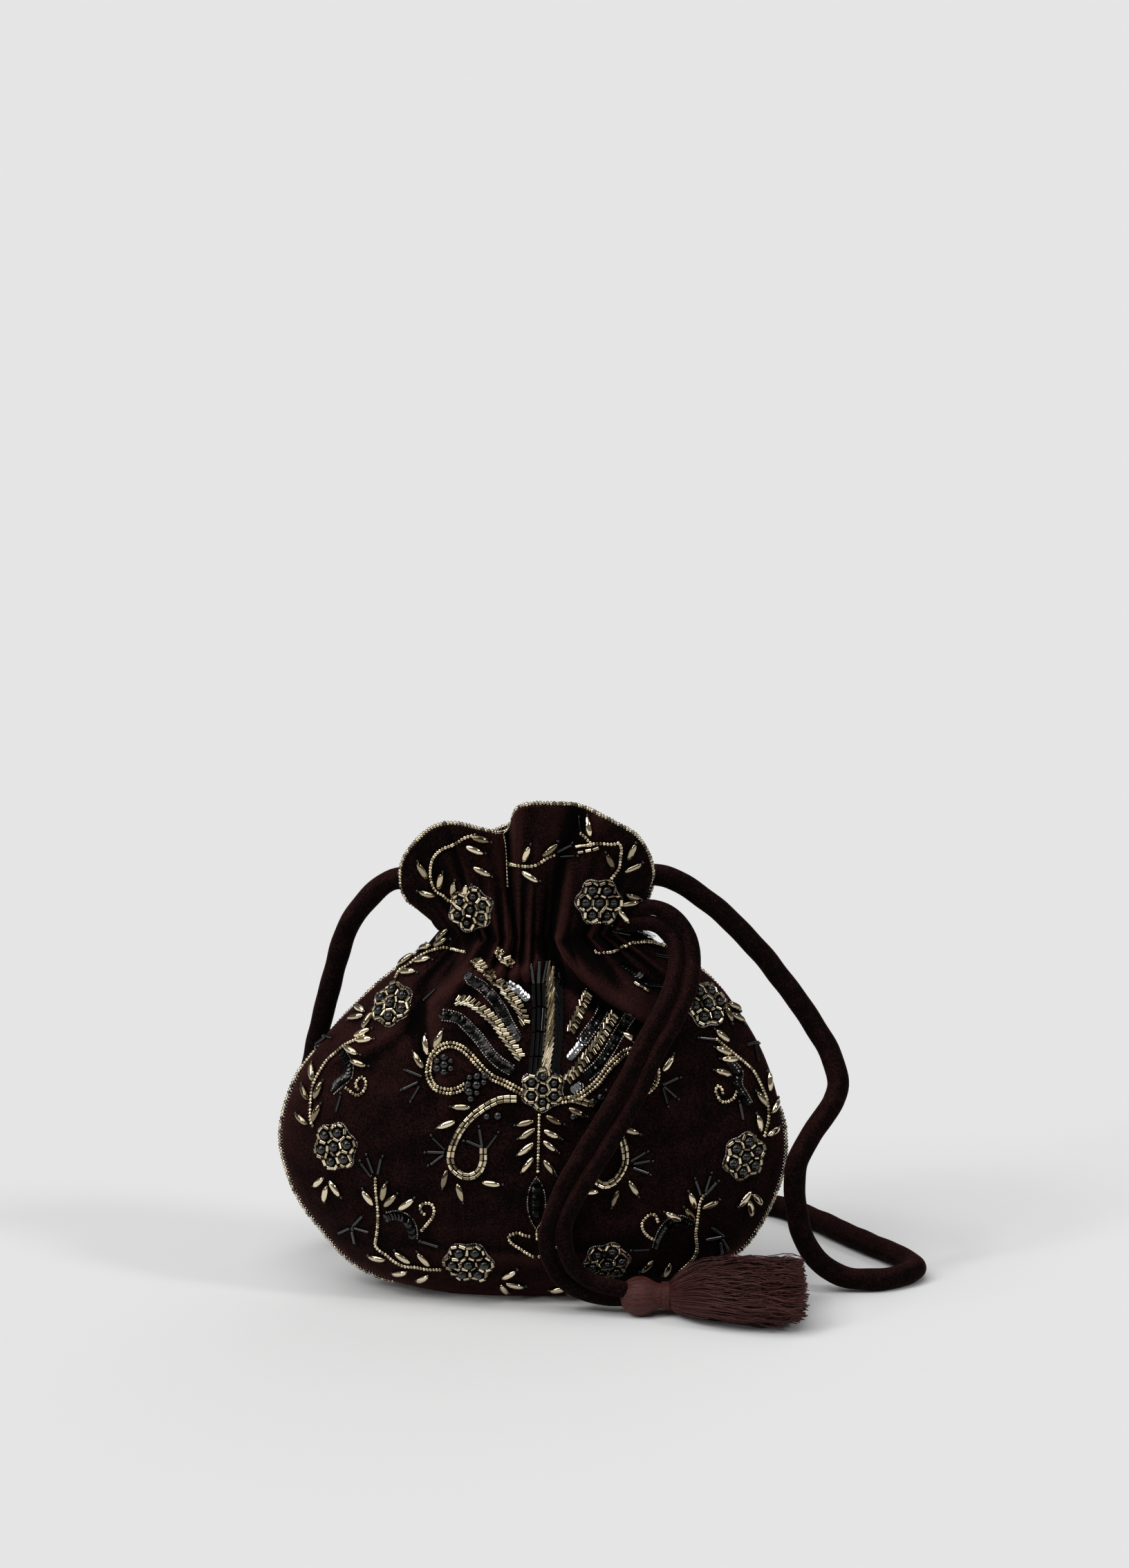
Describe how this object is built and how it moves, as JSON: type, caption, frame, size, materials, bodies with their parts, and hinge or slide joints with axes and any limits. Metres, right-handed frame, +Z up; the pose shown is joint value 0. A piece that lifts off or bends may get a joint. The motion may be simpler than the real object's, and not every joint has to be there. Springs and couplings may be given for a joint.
{
  "type": "beaded drawstring evening bag",
  "caption": "Round velvet drawstring pouch bag with floral bead embroidery, a flared bead-edged ruffle, a stuffed shoulder strap and a doubled drawcord with a tassel.",
  "frame": {"origin": "middle of the bag's footprint on the surface that it stands on, strap, drawcords and tassel left out", "axes": "+X to the wearer's right as the embroidered front is seen, -Y out of the embroidered front, +Z up through the neck"},
  "size_m": [0.2662, 0.1816, 0.212],
  "materials": {
    "velvet": "dark aubergine brown velvet, short pile",
    "strap_velvet": "the same velvet over a stuffed cord",
    "thread": "brown mauve rayon thread",
    "gold_beads": "champagne gold glazed beads, polished",
    "black_beads": "black glass beads, polished",
    "edge_beads": "small silver lined glass beads, polished"
  },
  "bodies": {
    "root": {"front_panel": "velvet", "back_panel": "velvet", "seam_trim": "edge_beads", "ruffle_trim_front": "edge_beads", "ruffle_trim_back": "edge_beads", "shoulder_strap": "strap_velvet", "drawcord_a": "strap_velvet", "drawcord_b": "strap_velvet", "tassel_head": "thread", "tassel_binding": "thread", "tassel_skirt": "thread", "rosette_left": "black_beads", "rosette_lower_left": "black_beads", "rosette_upper_left": "black_beads", "rosette_centre": "black_beads", "rosette_upper_right": "black_beads", "rosette_right": "black_beads", "rosette_lower_right": "black_beads", "rosette_ruffle_left": "black_beads", "rosette_ruffle_right": "black_beads", "vine_left_upper": "gold_beads", "vine_left_lower": "gold_beads", "vine_shoulder_left": "gold_beads", "vine_right_upper": "gold_beads", "fern_stem": "gold_beads", "vine_right_lower": "gold_beads", "vine_ruffle_left": "gold_beads", "vine_ruffle_right": "gold_beads", "ring_scroll_left": "gold_beads", "ring_scroll_right": "gold_beads", "seed_scroll_left": "gold_beads", "seed_scroll_right": "gold_beads", "band_left_1": "gold_beads", "band_left_2": "gold_beads", "band_left_3": "gold_beads", "band_left_4": "gold_beads", "band_right_1": "gold_beads", "band_right_2": "gold_beads", "band_right_3": "gold_beads", "spindle": "gold_beads", "bead_column": "black_beads"}
  },
  "joints": []
}
